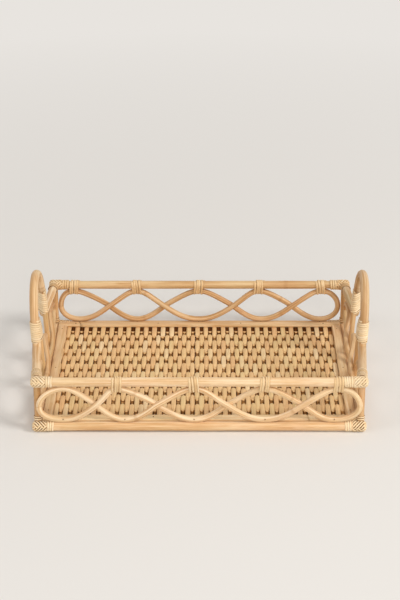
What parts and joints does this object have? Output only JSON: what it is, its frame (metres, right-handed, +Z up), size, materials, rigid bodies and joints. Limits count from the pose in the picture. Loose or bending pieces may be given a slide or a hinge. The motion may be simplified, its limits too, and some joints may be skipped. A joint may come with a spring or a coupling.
{
  "type": "serving tray",
  "caption": "Rectangular peeled-rattan serving tray with a woven floor, looped-cane walls and an arched carrying handle at each end.",
  "frame": {"origin": "centre of the tray on the surface it stands on", "axes": "+X along the tray towards the right-hand handle, +Y to the back wall, +Z up"},
  "size_m": [0.4414, 0.315, 0.152],
  "materials": {
    "poles": "peeled rattan pole, satin",
    "canes": "thin peeled rattan cane, satin",
    "strips": "flat split rattan, matte",
    "weave": "woven split reed, matte",
    "peel": "rattan peel, smooth satin",
    "nails": "dark small nail heads"
  },
  "bodies": {
    "root": {"base_front_rail": "poles", "base_back_rail": "poles", "base_left_rail": "poles", "base_right_rail": "poles", "front_left_post": "poles", "front_right_post": "poles", "back_left_post": "poles", "back_right_post": "poles", "top_front_rail": "poles", "top_back_rail": "poles", "left_handle": "poles", "right_handle": "poles", "front_left_strut": "canes", "back_left_strut": "canes", "front_right_strut": "canes", "back_right_strut": "canes", "front_cane_upper": "canes", "front_cane_lower": "canes", "back_cane_upper": "canes", "back_cane_lower": "canes", "left_cane_upper": "canes", "left_cane_lower": "canes", "right_cane_upper": "canes", "right_cane_lower": "canes", "front_edge_strip": "strips", "front_edge_strip_end": "strips", "back_edge_strip": "strips", "back_edge_strip_end": "strips", "left_edge_strip": "strips", "right_edge_strip": "strips", "woven_floor": "weave", "front_under_strip": "strips", "back_under_strip": "strips", "left_under_strip": "strips", "right_under_strip": "strips", "front_left_base_binding": "peel", "front_right_base_binding": "peel", "back_left_base_binding": "peel", "back_right_base_binding": "peel", "front_left_top_binding": "peel", "front_right_top_binding": "peel", "back_left_top_binding": "peel", "back_right_top_binding": "peel", "front_left_handle_binding": "peel", "back_left_handle_binding": "peel", "front_right_handle_binding": "peel", "back_right_handle_binding": "peel", "front_loop_binding_1": "peel", "front_loop_binding_2": "peel", "front_loop_binding_3": "peel", "front_loop_binding_4": "peel", "back_loop_binding_1": "peel", "back_loop_binding_2": "peel", "back_loop_binding_3": "peel", "back_loop_binding_4": "peel", "back_loop_binding_5": "peel", "strip_nails": "nails", "foot_nails": "nails"}
  },
  "joints": []
}
